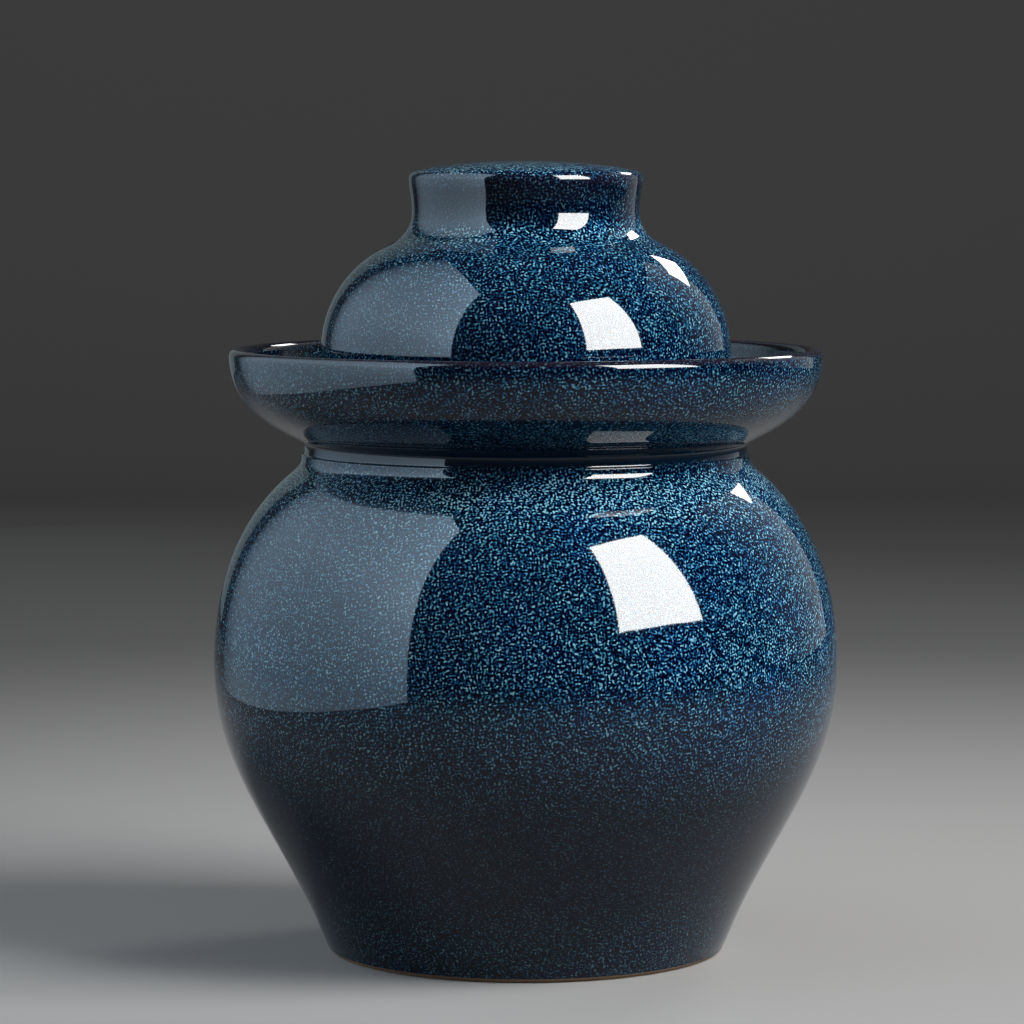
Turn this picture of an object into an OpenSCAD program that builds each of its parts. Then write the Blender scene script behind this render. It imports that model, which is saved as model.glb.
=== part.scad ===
// Water seal pickle jar.
// The belly ends in a sharp ledge. Above it the moat collar carries the neck and, round
// the neck, the bowl of the water moat. Jars of this kind are often thrown in two parts
// and luted together with slip. Once fired, belly and collar are one piece: they are
// drawn apart here, meet face to face at the ledge and never part.
// A small inner lid closes the mouth, and a domed outer lid stands in the moat.
// Every piece is turned about Z. Z is 0 at the table and all sizes are millimetres.

/* [Belly] */
// Widest diameter of the belly
belly_d = 250; // [236:1:264]
// Height of the widest place above the table
belly_z = 115.5; // [108:0.5:122]
// Thickness of the belly wall
wall = 8; // [6:0.5:10]
// Height of the cavity's floor above the table
floor_z = 13; // [11:0.5:18]
// How long the lower wall keeps the lean of the foot, as a share of the belly's height
low_pull = 0.46; // [0.35:0.01:0.55]
// Fullness of the belly below its widest place
low_full = 0.38; // [0.3:0.01:0.45]
// Fullness of the belly above its widest place
high_full = 0.3; // [0.24:0.01:0.4]
// How long the shoulder keeps its slope, as a share of its height
high_pull = 0.43; // [0.35:0.01:0.5]

/* [Foot] */
// Diameter of the wall just above the foot ring
foot_d = 160; // [152:1:168]
// Width of the foot ring that stands on the table
ring_w = 6; // [4:0.5:9]
// Depth of the hollow inside the foot ring
ring_h = 4; // [2:0.5:6]
// Lean of the wall above the foot, in degrees from upright
foot_lean = 22; // [16:1:27]

/* [Shoulder and waist] */
// Diameter where the shoulder turns up to the ledge
shoulder_d = 191; // [187:1:197]
// Height where the shoulder turns up to the ledge
shoulder_z = 190.5; // [188:0.5:192]
// Lean of the shoulder there, in degrees from upright
shoulder_lean = 48.5; // [44:0.5:53]
// Diameter of the sharp ledge on top of the shoulder
ledge_d = 179.4; // [178.6:0.2:181]
// Height of the ledge, where belly and collar meet
ledge_z = 199.6; // [198.4:0.2:200.6]
// Inner diameter of the face where they meet
seam_d = 138; // [132:1:144]
// Diameter of the waist between the ledge and the moat
waist_d = 176.8; // [174:0.2:177.4]

/* [Water moat] */
// Outer diameter of the moat's rim
moat_d = 236.6; // [228:0.2:246]
// Height of the moat's rim
moat_z = 241.3; // [236:0.1:246]
// Thickness of the moat's rolled rim
rim_t = 6; // [5:0.5:7]
// Height where the bowl of the moat leaves the waist
bowl_z = 204.6; // [203.8:0.2:205.6]
// Slope of the bowl there, in degrees from level
bowl_slope = 28.5; // [22:0.5:34]
// Height of the moat's floor, which the outer lid stands on
trough_z = 212; // [211:0.5:214]

/* [Neck] */
// Diameter of the mouth
mouth_d = 116; // [112:1:118]
// Thickness of the neck
neck_t = 7.5; // [6:0.5:8]
// Height of the mouth's lip, above the moat's rim
lip_z = 246; // [243:0.5:249]

/* [Outer lid] */
// Widest diameter of the dome
lid_d = 163.9; // [160:0.1:168]
// Thickness of the lid's wall
lid_t = 6.5; // [5:0.5:7]
// Height where the dome starts to close
dome_z = 240; // [234:0.5:243]
// Diameter where the dome meets the knob's root
root_d = 110.8; // [106:0.2:114]
// Height where the dome meets the knob's root
root_z = 282.5; // [280:0.5:285]
// Slope of the dome there, in degrees from level
root_slope = 26.5; // [22:0.5:31]
// Narrowest diameter of the hollow knob
knob_d = 90.9; // [86:0.1:94]
// Height of that narrowest place
knob_waist_z = 296; // [294:0.5:298]
// Diameter of the knob's rim
knob_rim_d = 93.4; // [91:0.1:98]
// Height of the knob's rim, where it is widest
knob_rim_z = 308.6; // [306:0.2:311]
// Radius of the knob's rounded rim
knob_round = 3.4; // [2.5:0.1:4.5]
// Height of the whole jar, at the middle of the knob's crown
top_z = 315.7; // [314.5:0.1:319]

/* [Inner lid] */
// Diameter of the flange that lies on the lip
flange_d = 128; // [125:1:130]
// Thickness of the flange
flange_t = 5.5; // [4.5:0.5:6.5]
// Gap between the locating ring and the mouth, on each side
ring_gap = 2.5; // [1.5:0.5:4]
// Depth of the locating ring inside the mouth
locate_h = 6; // [4:0.5:8]
// Height of the small knob above the flange
button_h = 17; // [14:0.5:19]
// Diameter of the small knob
button_d = 28; // [22:1:32]

/* [Smoothness] */
// Facets round each turned piece
facets = 96; // [48:12:144]
// Steps along each long curve
steps = 10; // [7:1:20]

/* [Hidden] */
up = 90;
down = 270;
out = 0;
in = 180;

// A curve leaves point a along its heading and reaches point b along its heading.
// Headings are degrees anticlockwise from outward, and pulls are lengths.
function unit(heading) = [cos(heading), sin(heading)];
function curve(a, heading_a, pull_a, b, heading_b, pull_b) =
    [a, a + pull_a * unit(heading_a), b - pull_b * unit(heading_b), b];
function point_at(c, t) =
    pow(1 - t, 3) * c[0] + 3 * pow(1 - t, 2) * t * c[1] + 3 * (1 - t) * t * t * c[2] + pow(t, 3) * c[3];
function travel_at(c, t) =
    pow(1 - t, 2) * (c[1] - c[0]) + 2 * (1 - t) * t * (c[2] - c[1]) + t * t * (c[3] - c[2]);
function left_of(v) = [-v[1], v[0]] / norm(v);

// Points along a curve, or along the line that lies a wall's thickness to its left.
function trace(c, n, from = 0, to = 1) = [for (i = [0:n]) point_at(c, from + (to - from) * i / n)];
function offset_at(c, t, depth) = point_at(c, t) + depth * left_of(travel_at(c, t));
function inside(c, n, from, to, depth_from, depth_to) =
    [for (i = [0:n]) let (s = i / n)
        offset_at(c, from + (to - from) * s, depth_from + (depth_to - depth_from) * s)];
function arc(mid, r, from, to, n) = [for (i = [0:n]) mid + r * unit(from + (to - from) * i / n)];

// The outside of the belly, from the foot up to the ledge
belly_r = belly_d / 2;
foot_r = foot_d / 2;
ledge_r = ledge_d / 2;
shoulder = [shoulder_d / 2, shoulder_z];
bowl_side = 1.8;
high_h = shoulder_z - belly_z;
ledge_round = 0.8;
low_belly = curve([foot_r, bowl_side], up - foot_lean, low_pull * belly_z,
    [belly_r, belly_z], up, low_full * belly_z);
high_belly = curve([belly_r, belly_z], up, high_full * high_h,
    shoulder, up + shoulder_lean, high_pull * high_h);
shoulder_fillet = curve(shoulder, up + shoulder_lean, 7.2,
    [ledge_r, ledge_z - ledge_round], up, 3.6);

// The foot ring, hollow underneath and rounded where it meets the wall
ring_out_r = foot_r - 2;
ring_in_r = ring_out_r - ring_w;
ring_round = 1.5;
function foot_outline() = concat(
    [[0, ring_h]],
    arc([ring_in_r - ring_round - 0.5, ring_h - ring_round], ring_round, up, out, 3),
    [[ring_in_r, 0]],
    trace(curve([ring_out_r, 0], out, 1.1, [foot_r, bowl_side], up - foot_lean, 1), 3));

// The cavity, a wall's thickness inside the belly, with a rounded floor
seam = [seam_d / 2, ledge_z];
seam_heading = 360 - shoulder_lean + 8;
corner_t = wall + 0.4;
floor_edge = [foot_r - 16, floor_z];
function cavity_outline() = concat(
    trace(curve(seam, seam_heading, 8, offset_at(high_belly, 1, wall), down + shoulder_lean, 9), 4),
    inside(high_belly, steps, 0.93, 0.05, wall, wall),
    inside(low_belly, steps, 1, 0.22, wall, corner_t),
    trace(curve(offset_at(low_belly, 0.16, corner_t), in + 66, 8, floor_edge, in, 9), 5),
    [[0, floor_z]]);

belly_outline = concat(
    foot_outline(),
    trace(low_belly, steps, 0.03, 1),
    trace(high_belly, steps, 0.06, 1),
    trace(shoulder_fillet, 4, 0.2, 1),
    arc([ledge_r - ledge_round, ledge_z - ledge_round], ledge_round, 25, up, 3),
    cavity_outline());

// The waist, and the bowl of the moat up to its rolled rim
waist_r = waist_d / 2;
rim_r = moat_d / 2;
rim_round = rim_t / 2;
rim_mid_z = moat_z - rim_round;
waist_chamfer = 0.5;
waist_top = [waist_r, bowl_z - 2];
bowl = curve([waist_r + bowl_side, bowl_z], bowl_slope, 11, [rim_r, rim_mid_z], up, 20.8);
function bowl_outline() = concat(
    [[waist_r + waist_chamfer, ledge_z], [waist_r, ledge_z + waist_chamfer], waist_top],
    trace(curve(waist_top, up, 1.1, bowl[0], bowl_slope, 1), 3, 0.3, 1),
    trace(bowl, steps, 0.07, 0.94),
    arc([rim_r - rim_round, rim_mid_z], rim_round, out, in, 8));

// The trough inside that bowl, and the neck that rises out of it to the mouth's lip
mouth_r = mouth_d / 2;
neck_r = mouth_r + neck_t;
lip_round = 2.5;
trough_t = 7;
trough_edge = 0.3;
trough_round = 6;
function trough_outline() = concat(
    inside(bowl, 7, 0.94, trough_edge, rim_t, trough_t),
    trace(curve(offset_at(bowl, trough_edge, trough_t), in + 31, 4,
        [waist_r - 1, trough_z], in, 5), 4, 0.25, 1),
    arc([neck_r + trough_round, trough_z + trough_round], trough_round, down, in, 4));
function neck_outline() = concat(
    arc([neck_r - lip_round, lip_z - lip_round], lip_round, out, up, 4),
    arc([mouth_r + lip_round, lip_z - lip_round], lip_round, up, in, 4),
    trace(curve([mouth_r, trough_z - 2], down, 5, seam, seam_heading, 6), 4));

collar_outline = concat(bowl_outline(), trough_outline(), neck_outline());

// The outer lid: skirt, dome, knob and crown outside, and one even wall within
lid_r = lid_d / 2;
skirt_r = lid_r - 0.6;
skirt_in_r = skirt_r - lid_t;
skirt_round = 1.4;
skirt_mid_z = trough_z + skirt_round;
dome = curve([lid_r, dome_z], up, 18, [root_d / 2, root_z], in - root_slope, 18.1);
root = curve(dome[3], in - root_slope, 6, [knob_d / 2, knob_waist_z], up, 8.2);
flare = curve(root[3], up, 5, [knob_rim_d / 2, knob_rim_z], up, 3.4);
function dome_outline() = concat(
    [[skirt_in_r + skirt_round, trough_z]],
    arc([skirt_r - skirt_round, skirt_mid_z], skirt_round, down, 360, 4),
    trace(dome, steps));

rim_turn = 75;
rim_mid = [knob_rim_d / 2 - knob_round, knob_rim_z];
crown = curve(rim_mid + knob_round * unit(rim_turn), up + rim_turn, 10, [0, top_z], in, 18);
function knob_outline() = concat(
    trace(root, 7, 0.14, 1),
    trace(flare, 4, 0.25, 1),
    arc(rim_mid, knob_round, 15, rim_turn, 4),
    trace(crown, 6, 0.16, 1));

bore_r = knob_d / 2 - lid_t;
bore_top = top_z - lid_t - 0.5;
bore_round = 5;
bore_fall = 1.2;
root_inside = offset_at(dome, 1, lid_t);
function hollow_outline() = concat(
    [[0, bore_top]],
    arc([bore_r - bore_round, bore_top - bore_fall - bore_round], bore_round, up, out, 4),
    trace(curve([bore_r, knob_waist_z], down, 9, root_inside, 360 - root_slope, 7), 6),
    inside(dome, steps, 0.94, 0, lid_t, lid_t),
    arc([skirt_in_r + skirt_round, skirt_mid_z], skirt_round, in, 255, 3));

lid_outline = concat(dome_outline(), knob_outline(), hollow_outline());

// The inner lid: a flange on the lip, a ring that locates it in the mouth, and a button
locate_r = mouth_r - ring_gap;
locate_round = 2.5;
under_z = lip_z + 2.5;
under_round = 3;
flange_r = flange_d / 2;
flange_z = lip_z + flange_t;
flange_round = 2;
button_r = button_d / 2;
button_z = flange_z + button_h;
stem_r = button_r * 0.66;
function underside_outline() = concat(
    [[0, under_z]],
    arc([locate_r - 2 * locate_round - under_round, lip_z - 1], under_round, up, out, 4),
    arc([locate_r - locate_round, lip_z - locate_h + locate_round], locate_round, in, 360, 8),
    [[locate_r, lip_z]],
    arc([flange_r - flange_round, lip_z + flange_round], flange_round, down, 360, 4),
    arc([flange_r - flange_round, flange_z - flange_round], flange_round, out, 80, 4));
function button_outline() = concat(
    trace(curve([button_r + 8, flange_z + 4], in - 8, 6, [stem_r, flange_z + 9], up, 3.5), 6),
    trace(curve([stem_r, flange_z + 10], up, 1.8, [button_r, button_z - 3.6], up, 2.2), 5),
    trace(curve([button_r, button_z - 3.2], up, 2.2, [0, button_z], in, button_r * 0.6), 8));

inner_outline = concat(underside_outline(), button_outline());

module turned(outline) {
    rotate_extrude($fn = facets) polygon(outline);
}

module jar_body() {
    color([0.07, 0.18, 0.32]) turned(belly_outline);
}

module moat_collar() {
    color([0.07, 0.20, 0.35]) turned(collar_outline);
}

module outer_lid() {
    color([0.08, 0.22, 0.38]) turned(lid_outline);
}

module inner_lid() {
    color([0.10, 0.26, 0.42]) turned(inner_outline);
}

jar_body();
moat_collar();
outer_lid();
inner_lid();
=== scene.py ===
import math

import bpy
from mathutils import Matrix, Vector


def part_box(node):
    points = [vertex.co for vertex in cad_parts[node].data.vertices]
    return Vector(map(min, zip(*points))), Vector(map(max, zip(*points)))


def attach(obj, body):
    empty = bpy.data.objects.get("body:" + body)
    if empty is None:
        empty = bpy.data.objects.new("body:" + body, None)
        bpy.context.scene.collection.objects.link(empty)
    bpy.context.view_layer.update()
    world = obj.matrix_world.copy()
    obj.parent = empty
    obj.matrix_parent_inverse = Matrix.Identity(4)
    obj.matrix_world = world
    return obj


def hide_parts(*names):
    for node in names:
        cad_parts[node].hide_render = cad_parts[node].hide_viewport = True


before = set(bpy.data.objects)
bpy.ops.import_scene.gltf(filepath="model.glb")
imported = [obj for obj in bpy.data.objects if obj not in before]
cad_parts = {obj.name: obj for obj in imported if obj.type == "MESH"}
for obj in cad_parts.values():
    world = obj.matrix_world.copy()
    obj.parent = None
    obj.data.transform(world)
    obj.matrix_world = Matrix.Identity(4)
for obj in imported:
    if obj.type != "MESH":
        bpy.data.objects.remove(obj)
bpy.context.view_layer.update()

MM = 0.001

# Sizes that the frame gives, in millimetres
belly_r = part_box("jar_body")[1].x / MM
ledge_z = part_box("jar_body")[1].z / MM
rim_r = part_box("moat_collar")[1].x / MM
lip_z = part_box("moat_collar")[1].z / MM
lid_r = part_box("outer_lid")[1].x / MM
trough_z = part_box("outer_lid")[0].z / MM
top_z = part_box("outer_lid")[1].z / MM
flange_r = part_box("inner_lid")[1].x / MM
locate_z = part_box("inner_lid")[0].z / MM
button_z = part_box("inner_lid")[1].z / MM

# Sizes of the jar that the frame's boxes don't show. Leans are from upright and slopes from level
foot_r = 80.0
foot_lean = 22
glaze_end_z = 1.8
ring_inset = 2
ring_w = 6.0
ring_h = 4.0
belly_z = 115.5
wall = 8.0
corner_t = wall + 0.4
floor_z = 13.0
shoulder = Vector((95.5, 190.5))
shoulder_lean = 48.5
ledge_r = 89.7
seam_r = 69.0
waist_r = 88.4
bowl_step = 1.8
bowl_z = 204.6
bowl_slope = 28.5
bowl_t = 7
moat_z = 241.3
rim_t = 6.0
mouth_r = 58.0
neck_r = 65.5

# Sizes of the outer lid
lid_t = 6.5
dome_z = 240.0
root_r = 55.4
root_z = 282.5
root_slope = 26.5
knob_r = 45.45
knob_waist_z = 296.0
knob_rim_r = 46.7
knob_rim_z = 308.6
knob_round = 3.4

# Sizes of the inner lid
flange_t = 5.5
ring_gap = 2.5
button_r = 14.0

# Headings in an outline, in degrees anticlockwise from outward, and the one in which the inner wall
# crosses the height of the ledge on its way from the mouth to the cavity
UP, DOWN, OUT, IN = 90, 270, 0, 180
seam_heading = 368 - shoulder_lean

# Sides of a turned piece, and steps along a long curve of its outline
SIDES = 192
STEPS = 30


# Outlines

def unit(heading):
    return Vector((math.cos(math.radians(heading)), math.sin(math.radians(heading))))


def curve(a, heading_a, pull_a, b, heading_b, pull_b):
    """A curve that leaves a along one heading and reaches b along the other. The pulls are how far
    it keeps to them."""
    a, b = Vector(a), Vector(b)
    return [a, a + pull_a * unit(heading_a), b - pull_b * unit(heading_b), b]


def point_at(c, t):
    left = 1 - t
    return left ** 3 * c[0] + 3 * left ** 2 * t * c[1] + 3 * left * t * t * c[2] + t ** 3 * c[3]


def travel_at(c, t):
    left = 1 - t
    return left ** 2 * (c[1] - c[0]) + 2 * left * t * (c[2] - c[1]) + t * t * (c[3] - c[2])


def offset_at(c, t, depth):
    """The point a wall's thickness to the left of the curve."""
    travel = travel_at(c, t).normalized()
    return point_at(c, t) + depth * Vector((-travel.y, travel.x))


def trace(c, n, start=0.0, end=1.0):
    return [point_at(c, start + (end - start) * i / n) for i in range(n + 1)]


def inside(c, n, start, end, depth_start, depth_end):
    """The inner face of a wall whose outer face is the curve."""
    points = []
    for i in range(n + 1):
        share = i / n
        depth = depth_start + (depth_end - depth_start) * share
        points.append(offset_at(c, start + (end - start) * share, depth))
    return points


def arc(mid, r, start, end, n):
    return [Vector(mid) + r * unit(start + (end - start) * i / n) for i in range(n + 1)]


def rings(points, depth, pitch):
    """Throwing rings: the shallow grooves that the fingers leave on an inner wall."""
    return [Vector((p.x + depth * math.sin(math.tau * p.y / pitch), p.y)) for p in points]


def belly_curves():
    """The wall from the foot to the belly, and from there to the shoulder."""
    foot = (foot_r, glaze_end_z)
    belly = (belly_r, belly_z)
    height = shoulder.y - belly_z
    low = curve(foot, UP - foot_lean, 0.46 * belly_z, belly, UP, 0.38 * belly_z)
    high = curve(belly, UP, 0.3 * height, shoulder, UP + shoulder_lean, 0.43 * height)
    return low, high


def bowl_curve():
    bottom = (waist_r + bowl_step, bowl_z)
    return curve(bottom, bowl_slope, 11, (rim_r, moat_z - rim_t / 2), UP, 20.8)


def foot_points():
    """The bare foot ring, and the bead in which the glaze ends just above it."""
    ring_out = foot_r - ring_inset
    ring_in = ring_out - ring_w
    recess_round = 1.5
    inner_round = 0.6
    outer_round = 0.8
    bead = 0.35
    bead_mid = (foot_r - 0.7, 1.75)
    return [
        Vector((0, ring_h)),
        *arc((ring_in - 2, ring_h - recess_round), recess_round, UP, OUT, 6),
        *arc((ring_in + inner_round, inner_round), inner_round, IN, DOWN, 4),
        *arc((ring_out - outer_round, outer_round), outer_round, DOWN, 350, 5),
        *arc(bead_mid, bead, DOWN, 370, 6),
    ]


def belly_points():
    low, high = belly_curves()
    ledge_round = 0.8
    ledge = (ledge_r, ledge_z - ledge_round)
    turn_up = curve(shoulder, UP + shoulder_lean, 7.2, ledge, UP, 3.6)
    return [
        *trace(low, STEPS, 0.012),
        *trace(high, STEPS, 0.03),
        *trace(turn_up, 8, 0.12),
        *arc((ledge_r - ledge_round, ledge_z - ledge_round), ledge_round, 10, UP, 6),
    ]


def moat_points():
    """Waist, bowl and rolled rim outside, then the trough within."""
    bowl = bowl_curve()
    waist_foot = curve((waist_r + 0.35, ledge_z), IN, 0.25, (waist_r, ledge_z + 0.6), UP, 0.3)
    waist_top = curve((waist_r, bowl_z - 2), UP, 1.1, bowl[0], bowl_slope, 1)
    rim_mid = (rim_r - rim_t / 2, moat_z - rim_t / 2)
    floor_start = 0.3
    floor_turn = curve(offset_at(bowl, floor_start, bowl_t), IN + 31, 4, (waist_r - 1, trough_z), IN, 5)
    trough_round = 6
    return [
        *trace(waist_foot, 3, 0.2),
        *trace(waist_top, 6),
        *trace(bowl, STEPS, 0.03, 0.97),
        *arc(rim_mid, rim_t / 2, OUT, IN, 14),
        *inside(bowl, 16, 0.95, floor_start, rim_t, bowl_t),
        *trace(floor_turn, 6, 0.15),
        *arc((neck_r + trough_round, trough_z + trough_round), trough_round, DOWN, IN, 8),
    ]


def neck_points():
    """The neck that stands in the trough, over the lip and down inside the mouth."""
    lip_round = 2.5
    return [
        *arc((neck_r - lip_round, lip_z - lip_round), lip_round, OUT, UP, 8),
        *arc((mouth_r + lip_round, lip_z - lip_round), lip_round, UP, IN, 8),
        *trace(curve((mouth_r, trough_z - 2), DOWN, 5, (seam_r, ledge_z), seam_heading, 6), 8),
    ]


def cavity_points():
    """The inside of the belly, with faint throwing rings, and its floor."""
    low, high = belly_curves()
    seam = (seam_r, ledge_z)
    under_seam = curve(seam, seam_heading, 8, offset_at(high, 1, wall), DOWN + shoulder_lean, 9)
    walls = [
        *trace(under_seam, 8, 0.12),
        *inside(high, STEPS, 0.96, 0.03, wall, wall),
        *inside(low, STEPS, 1, 0.2, wall, corner_t),
    ]
    floor_turn = curve(offset_at(low, 0.16, corner_t), IN + 66, 8, (foot_r - 16, floor_z), IN, 9)
    return [*rings(walls, 0.15, 11), *trace(floor_turn, 8), Vector((0, floor_z))]


def lid_points():
    """Skirt, dome, knob and crown outside, then the even wall within."""
    skirt_r = lid_r - 0.6
    skirt_in = skirt_r - lid_t
    skirt_round = 1.4
    bore_round = 5
    dome = curve((lid_r, dome_z), UP, 18, (root_r, root_z), IN - root_slope, 18.1)
    root = curve(dome[3], IN - root_slope, 6, (knob_r, knob_waist_z), UP, 8.2)
    flare = curve(root[3], UP, 5, (knob_rim_r, knob_rim_z), UP, 3.4)
    rim_turn = 75
    rim_mid = Vector((knob_rim_r - knob_round, knob_rim_z))
    crown = curve(rim_mid + knob_round * unit(rim_turn), UP + rim_turn, 10, (0, top_z), IN, 18)
    bore_r = knob_r - lid_t
    bore_top = top_z - lid_t - 0.5
    bore_side = curve((bore_r, knob_waist_z), DOWN, 9, offset_at(dome, 1, lid_t), 360 - root_slope, 7)
    return [
        Vector((0, bore_top)),
        *arc((bore_r - bore_round, bore_top - 6.2), bore_round, UP, OUT, 8),
        *trace(bore_side, 10),
        *rings(inside(dome, STEPS, 0.96, 0, lid_t, lid_t), 0.12, 8),
        *arc((skirt_in + skirt_round, trough_z + skirt_round), skirt_round, IN, DOWN, 5),
        *arc((skirt_r - skirt_round, trough_z + skirt_round), skirt_round, DOWN, 360, 5),
        *trace(dome, STEPS),
        *trace(root, 12, 0.08),
        *trace(flare, 8, 0.1),
        *arc(rim_mid, knob_round, 8, rim_turn, 8),
        *trace(crown, 14, 0.08),
    ]


def inner_points():
    """Flange, locating ring and button."""
    locate_r = mouth_r - ring_gap
    locate_round = 2.5
    hollow_round = 3
    flange_z = lip_z + flange_t
    flange_round = 2
    stem_r = button_r * 0.66
    stem = curve((button_r + 8, flange_z + 4), IN - 8, 6, (stem_r, flange_z + 9), UP, 3.5)
    under = curve((stem_r, flange_z + 10), UP, 1.8, (button_r, button_z - 3.6), UP, 2.2)
    crown = curve((button_r, button_z - 3.2), UP, 2.2, (0, button_z), IN, button_r * 0.6)
    return [
        Vector((0, lip_z + 2.5)),
        *arc((locate_r - 8, lip_z - 1), hollow_round, UP, OUT, 8),
        *arc((locate_r - locate_round, locate_z + locate_round), locate_round, IN, 360, 12),
        Vector((locate_r, lip_z)),
        *arc((flange_r - flange_round, lip_z + flange_round), flange_round, DOWN, 360, 8),
        *arc((flange_r - flange_round, flange_z - flange_round), flange_round, OUT, 80, 8),
        *trace(stem, 12),
        *trace(under, 8),
        *trace(crown, 14),
    ]


# Turning the outlines into meshes

def draw_chain(name, points):
    """A vertex, merged from a small square, and from it one edge after another in the plane of X
    and Z."""
    bpy.ops.object.select_all(action="DESELECT")
    start = points[0] * MM
    bpy.ops.mesh.primitive_plane_add(size=0.01, location=(start.x, 0, start.y))
    piece = bpy.context.object
    piece.name = name
    piece.data.name = name
    bpy.ops.object.transform_apply(location=True, rotation=False, scale=False)
    bpy.ops.object.mode_set(mode="EDIT")
    bpy.ops.mesh.select_mode(type="VERT")
    bpy.ops.mesh.select_all(action="SELECT")
    bpy.ops.mesh.merge(type="CENTER")
    for a, b in zip(points, points[1:]):
        step = (b - a) * MM
        bpy.ops.mesh.extrude_region_move(TRANSFORM_OT_translate={"value": (step.x, 0, step.y)})
    return piece


def spin_chain(sides, closed):
    """Spins the chain round Z, with its seam and its poles merged."""
    bpy.ops.mesh.select_all(action="SELECT")
    bpy.ops.mesh.spin(steps=sides, angle=math.tau, center=(0, 0, 0), axis=(0, 0, 1),
                      use_normal_flip=False)
    bpy.ops.mesh.select_all(action="SELECT")
    bpy.ops.mesh.remove_doubles(threshold=0.00001)
    if closed:
        bpy.ops.mesh.normals_make_consistent(inside=False)
    bpy.ops.object.mode_set(mode="OBJECT")


def turned(name, points, sides=SIDES, closed=True):
    """A piece turned on the wheel from its outline, with its edges kept crisp."""
    piece = draw_chain(name, points)
    spin_chain(sides, closed)
    bpy.ops.object.shade_smooth_by_angle(angle=math.radians(50))
    return piece


def soften_by_hand(piece, depth, seats):
    """A hand-thrown wall is never quite true: shallow hollows, none where the piece is seated. The
    depth is in metres, and the heights of the seats in millimetres."""
    true_near = 3
    fade = 15
    loose = piece.vertex_groups.new(name="loose")
    for v in piece.data.vertices:
        away = min(abs(v.co.z / MM - z) for z in seats)
        loose.add([v.index], min(1.0, max(0.0, (away - true_near) / fade)), "REPLACE")
    hollows = bpy.data.textures.new(piece.name + "_hollows", "CLOUDS")
    hollows.noise_scale = 0.09
    hollows.noise_depth = 1
    wobble = piece.modifiers.new("hollows", "DISPLACE")
    wobble.texture = hollows
    wobble.texture_coords = "LOCAL"
    wobble.strength = depth
    wobble.mid_level = 1.0
    wobble.vertex_group = "loose"
    bpy.context.view_layer.objects.active = piece
    bpy.ops.object.modifier_apply(modifier="hollows")


# Shader maths

class Value:
    """A socket of a node, so that shader maths reads as an expression."""

    def __init__(self, nodes, socket):
        self.nodes = nodes
        self.socket = socket

    def math(self, operation, *others):
        return self.nodes.add("ShaderNodeMath", {"operation": operation}, enumerate((self, *others)))

    def __add__(self, other):
        return self.math("ADD", other)

    def __mul__(self, other):
        return self.math("MULTIPLY", other)

    def __sub__(self, other):
        return self.math("SUBTRACT", other)

    def __rsub__(self, other):
        return (self * -1) + other

    def __truediv__(self, other):
        return self.math("DIVIDE", other)

    __radd__ = __add__
    __rmul__ = __mul__

    def rise(self, low, high):
        """0 below low, 1 above high and a smooth climb between, or the reverse if low is above."""
        start, end = (1.0, 0.0) if low > high else (0.0, 1.0)
        span = {"From Min": min(low, high), "From Max": max(low, high), "To Min": start, "To Max": end}
        smooth = {"interpolation_type": "SMOOTHSTEP"}
        return self.nodes.add("ShaderNodeMapRange", smooth, {"Value": self, **span})

    def band(self, low, high, soft):
        """1 between low and high, with soft edges."""
        return self.rise(low - soft, low + soft) * self.rise(high + soft, high - soft)

    def most(self, other):
        """The larger of the two."""
        return self.math("MAXIMUM", other)

    def split(self):
        """The three parts of a place."""
        part = self.nodes.add("ShaderNodeSeparateXYZ", {}, {"Vector": self})
        return [Value(self.nodes, socket) for socket in part.socket.node.outputs]


def set_stops(ramp, stops):
    """Puts a colour at each place of a ramp, from (place, colour) pairs."""
    while len(ramp.elements) < len(stops):
        ramp.elements.new(0.5)
    for element, (place, colour) in zip(ramp.elements, stops):
        element.position = place
        element.color = (*colour, 1)


# A Mix node's sockets for colours, by number because their names repeat
MIX_FACTOR, MIX_A, MIX_B, MIX_RESULT = 0, 6, 7, 2


class Nodes:
    """The nodes of a material or a lamp."""

    def __init__(self, tree):
        self.tree = tree

    def put(self, slot, value):
        """Links a value to a slot, or writes a number, vector or colour in it."""
        if isinstance(value, Value):
            self.tree.links.new(value.socket, slot)
        else:
            slot.default_value = value

    def add(self, kind, settings=(), sockets=(), output=0):
        """Adds a node: its settings first, then what its sockets hold, by name or number."""
        node = self.tree.nodes.new(kind)
        for name, setting in dict(settings).items():
            if name == "stops":
                set_stops(node.color_ramp, setting)
            else:
                setattr(node, name, setting)
        for key, value in dict(sockets).items():
            self.put(node.inputs[key], value)
        return Value(self, node.outputs[output])


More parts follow.
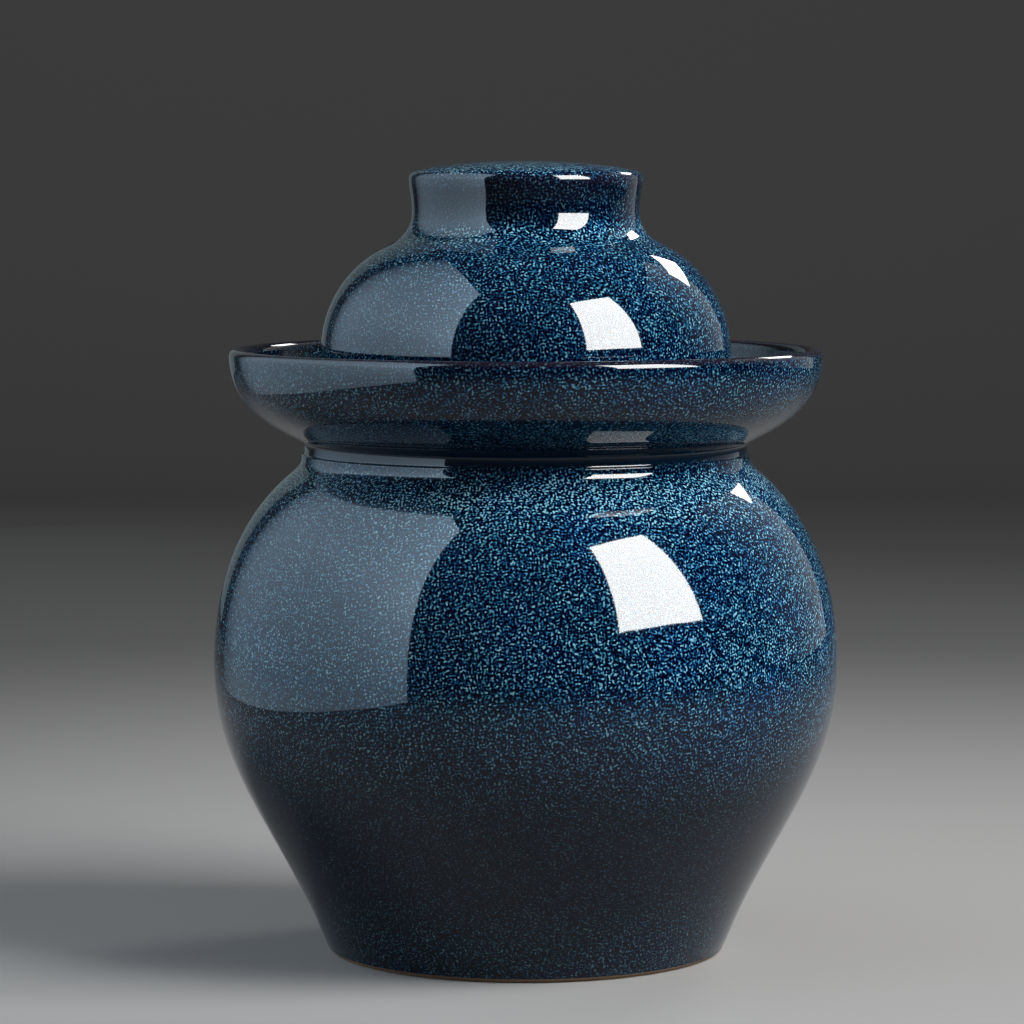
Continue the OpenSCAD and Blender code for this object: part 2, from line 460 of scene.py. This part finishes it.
class Finish(Nodes):
    """A material that is being mixed. height is in millimetres, and so is radius, the distance
    from the axis."""

    def __init__(self, name):
        self.material = bpy.data.materials.new(name)
        self.material.use_nodes = True
        super().__init__(self.material.node_tree)
        self.place = self.add("ShaderNodeTexCoord", output="Object")
        x, y, z = self.place.split()
        self.height = z / MM
        self.radius = (x * x + y * y).math("SQRT") / MM

    def noise(self, place, size, detail=0.0):
        """Cloudy noise whose cells are size across, in millimetres."""
        sockets = {"Vector": place, "Scale": 1 / (size * MM), "Detail": detail}
        return self.add("ShaderNodeTexNoise", {}, sockets)

    def turn(self, place, angles):
        """The place turned by three angles in degrees."""
        rotation = tuple(math.radians(a) for a in angles)
        return self.add("ShaderNodeMapping", {}, {"Vector": place, "Rotation": rotation})

    def shift(self, place, move):
        """The place moved by a vector in metres."""
        return self.add("ShaderNodeVectorMath", {"operation": "ADD"}, {0: place, 1: move})

    def ramp(self, factor, stops):
        """A colour for each step of a value."""
        return self.add("ShaderNodeValToRGB", {"stops": stops}, {"Fac": factor})

    def level(self, height, low, high, pairs):
        """A number up to 2 that follows the height, from (height, number) pairs in millimetres."""
        stops = [((z - low) / (high - low), (number / 2,) * 3) for z, number in pairs]
        return self.ramp((height - low) / (high - low), stops) * 2

    def mix(self, factor, a, b):
        """Colour a where the factor is 0, colour b where it is 1."""
        a, b = (colour if isinstance(colour, Value) else (*colour, 1) for colour in (a, b))
        sockets = {MIX_FACTOR: factor, MIX_A: a, MIX_B: b}
        return self.add("ShaderNodeMix", {"data_type": "RGBA"}, sockets, MIX_RESULT)

    def bump(self, height):
        """The normal of a surface whose relief is given in metres."""
        sockets = {"Height": height, "Strength": 1.0, "Distance": 1.0}
        return self.add("ShaderNodeBump", {}, sockets, "Normal")

    def feed(self, **sockets):
        """Sets the shader's own sockets."""
        shader = self.tree.nodes["Principled BSDF"]
        for name, value in sockets.items():
            self.put(shader.inputs[name.replace("_", " ")], value)


# Materials

# Colours of the glaze, from the dark between the flecks to the heart of the palest fleck
AZURE = [
    (0.00, (0.0002, 0.0010, 0.0090)),
    (0.25, (0.0004, 0.0140, 0.0660)),
    (0.50, (0.0025, 0.0600, 0.2000)),
    (0.75, (0.0150, 0.1700, 0.4000)),
    (1.00, (0.0900, 0.4000, 0.6800)),
]
TEAL = [
    (0.00, (0.0002, 0.0016, 0.0080)),
    (0.25, (0.0006, 0.0180, 0.0540)),
    (0.50, (0.0070, 0.0900, 0.1800)),
    (0.75, (0.0580, 0.2400, 0.3500)),
    (1.00, (0.2900, 0.5400, 0.6200)),
]
GROUND = (0.0003, 0.0012, 0.0080)
THIN_GLAZE = (0.018, 0.010, 0.016)
# Dark, unflecked blue: painted shade in the waist under the bowl
WAIST_PAINTED_SHADE = (0.002, 0.012, 0.030)
CLAY = (0.33, 0.22, 0.13)
DARK_CLAY = (CLAY[0] * 0.6, CLAY[1] * 0.55, CLAY[2] * 0.5)

# Colours of the studio's paper, near the jar and far from it: pale near the jar and darker away
# from it, a pool of light painted on the paper
PAPER_IN_PAINTED_LIGHT = (0.325, 0.32, 0.315)
PAPER_IN_PAINTED_SHADE = (0.10, 0.10, 0.10)

# The flecks: the size of the noise that they are cut from and how far off it is compared with
# itself, in millimetres, and the numbers at which a fleck begins and is at its palest. The grain is
# turned by three angles, so that no wall lies along the noise's grid.
FLECK_SIZE = 0.85
FLECK_STEP = 0.93
FLECK_EDGES = (-0.14, 0.33)
GRAIN_TURN = (31, 47, 19)

# Relief of the surface, in metres
RIPPLE = 0.018 * MM
PEEL = 0.0012 * MM
FLECK_RELIEF = 0.0005 * MM
SAND_RELIEF = 0.12 * MM

# How bright the flecks are, in (height, number) pairs. The jar's run from the foot over the dark
# lower wall and the belly to the shoulder, then from the waist over the bowl to its rim. The
# numbers paint light and shade as well: brighter on the shoulder, which faces up to the light,
# darker under the bowl as painted shade, and darker towards the foot, partly the glaze and partly
# painted shade.
JAR_GLOW_AND_PAINTED_LIGHT = [
    (0, 0.28), (10, 0.28), (22, 0.21), (34, 0.13), (58, 0.13), (70, 0.18), (80, 0.31), (92, 0.53),
    (102, 0.66), (112, 0.86), (122, 1.1), (133, 1.1), (143, 1.02), (153, 1.03), (165, 1.0),
    (176, 1.04), (184, 1.28), (191, 1.55),
    (204, 0.20), (212, 0.28), (222, 0.60), (232, 0.74), (238, 0.50), (242, 0.3),
]
# The outer lid's run over the skirt and the dome to the root of the knob, then up the knob. The
# crown is made brighter as a painted highlight.
LID_GLOW_AND_PAINTED_LIGHT = [
    (214, 0.7), (250, 0.8), (268, 0.82), (282, 0.96), (288, 1.35),
    (293, 0.4), (299, 0.22), (306, 0.2), (310, 0.8), (313, 1.4), (316, 1.5),
]
INNER_LID_GLOW = [(236, 0.7), (256, 0.8), (266, 0.75), (270, 0.9)]


def flecks(paint, place, size, step):
    """Small flecks and short worms, evenly strewn: noise, less what it is a step away on all six
    sides, which leaves no broad patches."""
    sides = ((1, 0, 0), (-1, 0, 0), (0, 1, 0), (0, -1, 0), (0, 0, 1), (0, 0, -1))
    around = 0
    for side in sides:
        shifted = paint.shift(place, tuple(step * MM * way for way in side))
        around = paint.noise(shifted, size) + around
    return paint.noise(place, size) - around / len(sides)


def glaze(paint, low, high, glow_and_light, bare, thin, worn, painted_shade=None):
    """Deep blue glaze, broken by pale flecks. The table of (height, number) pairs gives how bright they
    are between the heights low and high, and paints light and shade as well. The three masks are
    where the clay is bare, where the glaze is thin and where shade is painted in a crease, and worn
    is how much of the blue is gone where the glaze is thin."""
    place = paint.place
    drift_reach = 14
    drift = (paint.noise(place, 22, detail=2) - 0.5) * drift_reach
    # The level paints light and shade too: brighter flecks where the wall faces up to the light, glaze
    # darker in shade
    level = paint.level(paint.height + drift, low, high, glow_and_light)

    # Flecks, some of them paler than others, under broad clouds
    grain = paint.turn(place, GRAIN_TURN)
    fleck = flecks(paint, grain, FLECK_SIZE, FLECK_STEP).rise(*FLECK_EDGES)
    shine = paint.noise(grain, 0.9).rise(0.25, 0.75) * 0.35 + 0.75
    clouds = (paint.noise(place, 8, detail=2) - 0.5) * 0.3 + 0.94
    strength = fleck * shine * clouds * level.most(1.0)

    # Their hue wanders from fleck to fleck and across the wall
    hue_noise = paint.noise(grain, FLECK_SIZE) * 0.7 + paint.noise(place, 30, detail=1) * 0.3
    hue = hue_noise.rise(0.40, 0.66)
    colour = paint.mix(hue, paint.ramp(strength, AZURE), paint.ramp(strength, TEAL))
    colour = paint.mix(level, GROUND, colour)
    # Painted shade in the crease under the bowl
    if painted_shade:
        colour = paint.mix(painted_shade, colour, WAIST_PAINTED_SHADE)
    colour = paint.mix(thin * worn, colour, THIN_GLAZE)

    # Sandy clay where it is bare, and the relief of glaze and clay
    sand = paint.noise(place, 0.5, detail=3)
    clay = paint.mix(sand.rise(0.3, 0.75), CLAY, DARK_CLAY)
    ripple = paint.noise(place, 11, detail=1) * RIPPLE
    peel = paint.noise(place, 2.2) * PEEL
    relief = ripple + peel + fleck * FLECK_RELIEF + bare * sand * SAND_RELIEF
    paint.feed(Base_Color=paint.mix(bare, colour, clay), Roughness=bare * 0.76 + 0.04, IOR=1.43)
    paint.feed(Normal=paint.bump(relief))
    return paint.material


def jar_glaze():
    """Bare on the foot ring, in the recess within it and on the mouth's lip, thin on the moat's rim
    and round the lip, and with shade painted dark in the waist at the foot of the bowl."""
    paint = Finish("jar_glaze")
    z, r = paint.height, paint.radius
    foot = z.rise(1.75, 1.45)
    recess = z.rise(4.6, 4.2) * r.rise(72.5, 71.5)
    lip = z.rise(245.3, 245.7) * r.rise(67, 66)
    rim_edge = z.band(239.3, 243, 0.9) * r.rise(100, 104)
    lip_edge = z.band(244.5, 250, 0.8) * r.rise(72, 70)
    # Where shade is painted: the waist, under the bowl's overhang
    shaded_waist = z.band(199.8, 206.5, 1.2) * r.rise(86, 87) * r.rise(97, 93)
    bare = foot.most(recess).most(lip)
    return glaze(paint, 0, 260, JAR_GLOW_AND_PAINTED_LIGHT, bare, rim_edge + lip_edge, 0.6, shaded_waist)


def lid_glaze():
    """Bare under the skirt and thin on the knob's rim."""
    paint = Finish("lid_glaze")
    z, r = paint.height, paint.radius
    skirt_foot = z.rise(213.0, 212.6)
    knob_rim = z.band(306.5, 311.0, 1.2) * r.rise(41, 44)
    return glaze(paint, 200, 320, LID_GLOW_AND_PAINTED_LIGHT, skirt_foot, knob_rim, 0.35)


def inner_lid_glaze():
    """Bare underneath and thin on the flange's edge."""
    paint = Finish("inner_lid_glaze")
    z, r = paint.height, paint.radius
    underside = z.rise(246.6, 246.2)
    flange_edge = z.band(250, 252, 0.6) * r.rise(60, 62)
    return glaze(paint, 230, 272, INNER_LID_GLOW, underside, flange_edge, 0.35)


def studio_paper():
    """Studio paper, pale round the jar and darker from the far floor up the wall: a pool of light
    painted round the jar.
    """
    paint = Finish("studio_paper")
    shade = paint.noise(paint.place, 400, detail=2) * 0.03
    # Painted pool of light: the paper darkens away from the jar
    away = paint.radius.rise(150, 1200)
    paint.feed(Base_Color=paint.mix(away + shade, PAPER_IN_PAINTED_LIGHT, PAPER_IN_PAINTED_SHADE), Roughness=0.9)
    return paint.material


# The three pieces

def finish_piece(piece, material, body, slot, *nodes):
    """Glazes a piece, and says what it rides on and hides the CAD nodes that it stands in for."""
    piece.data.materials.append(material)
    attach(piece, body)
    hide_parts(*nodes)


def make_jar():
    points = [*foot_points(), *belly_points(), *moat_points(), *neck_points(), *cavity_points()]
    jar = turned("jar", points)
    soften_by_hand(jar, 0.5 * MM, [0, trough_z, lip_z])
    finish_piece(jar, jar_glaze(), "jar", "jar_glaze", "jar_body", "moat_collar")


def make_outer_lid():
    lid = turned("domed_lid", lid_points())
    soften_by_hand(lid, 0.4 * MM, [trough_z])
    finish_piece(lid, lid_glaze(), "outer_lid", "lid_glaze", "outer_lid")


def make_inner_lid():
    cover = turned("mouth_cover", inner_points())
    soften_by_hand(cover, 0.2 * MM, [lip_z])
    finish_piece(cover, inner_lid_glaze(), "inner_lid", "inner_lid_glaze", "inner_lid")


# Floor, light and camera

def make_stage():
    """A pale floor that sweeps up into a wall all round."""
    floor_steps = (0, 400, 1200)
    floor_end, wall_r, wall_top = 2300, 3300, 3200
    bend = wall_r - floor_end
    outline = [
        *(Vector((r, 0)) for r in floor_steps),
        *arc((floor_end, bend), bend, DOWN, 360, 24),
        Vector((wall_r, wall_top)),
    ]
    sweep = turned("sweep", outline, sides=96, closed=False)
    sweep.data.materials.append(studio_paper())


def softbox(name, azimuth, distance, low, high, width, radiance, diffuse=True, gloss=True,
            foot=1.0, full=1.0, right=1.0, tint=(1, 1, 1)):
    """An upright panel of light. Azimuth 0 is towards the camera and 90 to its right. foot and
    right are the shares of the radiance at the lower edge and at the right-hand edge, as the jar
    sees them, and full is the share of the height above which the panel isn't dimmed."""
    lamp = bpy.data.lights.new(name, "AREA")
    lamp.shape = "RECTANGLE"
    lamp.size = width
    lamp.size_y = high - low
    lamp.energy = radiance * math.pi * width * (high - low)
    lamp.color = tint
    lamp.use_nodes = True
    face = Nodes(lamp.node_tree)
    across, up = face.add("ShaderNodeNewGeometry", output="Parametric").split()[:2]
    upright_share = (up / full).math("MINIMUM", 1.0) * (1 - foot) + foot
    share = upright_share * (across * (1 - right) + right)
    face.put(face.tree.nodes["Emission"].inputs["Strength"], share)
    panel = bpy.data.objects.new(name, lamp)
    turn = math.radians(azimuth)
    panel.location = (distance * math.sin(turn), -distance * math.cos(turn), (low + high) / 2)
    panel.rotation_euler = (math.radians(90), 0, turn)
    panel.visible_camera = False
    panel.visible_diffuse = diffuse
    panel.visible_glossy = gloss
    bpy.context.scene.collection.objects.link(panel)


def make_lights():
    """What lights the colours and what shows in the gloss are separate panels, but for the small
    one behind the jar. The numbers are a panel's azimuth in degrees, its distance, lower edge, upper
    edge and width in metres, and its radiance."""
    cool = (0.74, 1.0, 1.26)
    faint_cool = (0.78, 1.0, 1.05)
    # From the left
    softbox("wide_panel", -93, 1.15, 0.05, 2.0, 2.9, 0.7, gloss=False)
    softbox("wide_shine", -89.3, 0.5, 0.004, 1.45, 1.17, 4.8, diffuse=False,
            foot=0.34, full=0.31, right=0.0, tint=cool)
    # From the right
    softbox("key_softbox", 68, 1.6, 0.8, 2.7, 1.2, 13.3, gloss=False)
    softbox("key_shine", 48.5, 0.85, 0.335, 1.26, 0.49, 28.5, diffuse=False, foot=0.95)
    # Along both edges of the jar
    softbox("rim_softbox", 145, 1.6, 1.0, 1.35, 0.5, 16.0)
    softbox("side_shine", 118, 1.9, 0.02, 2.2, 1.8, 0.8, diffuse=False, foot=0.6, right=0.0)
    softbox("edge_shine", -161, 2.0, 0.02, 2.2, 0.66, 0.15, diffuse=False, tint=faint_cool)
    dim_room = (0.05, 0.05, 0.052, 1)
    world = bpy.data.worlds.new("studio")
    bpy.context.scene.world = world
    world.use_nodes = True
    world.node_tree.nodes["Background"].inputs["Color"].default_value = dim_room


def make_camera():
    """A long lens in front of the jar, as high as its top and pitched down by 4.7 degrees."""
    view = bpy.data.cameras.new("camera")
    view.lens = 149.52
    view.sensor_width = 36
    pitch = math.radians(85.255)
    camera = bpy.data.objects.new("camera", view)
    camera.location = (-0.0055, -1.696, 0.3164)
    camera.rotation_euler = (pitch, 0, 0)
    bpy.context.scene.collection.objects.link(camera)
    bpy.context.scene.camera = camera


bpy.context.scene.view_settings.view_transform = "Standard"
make_camera()
make_stage()
make_lights()
make_jar()
make_outer_lid()
make_inner_lid()
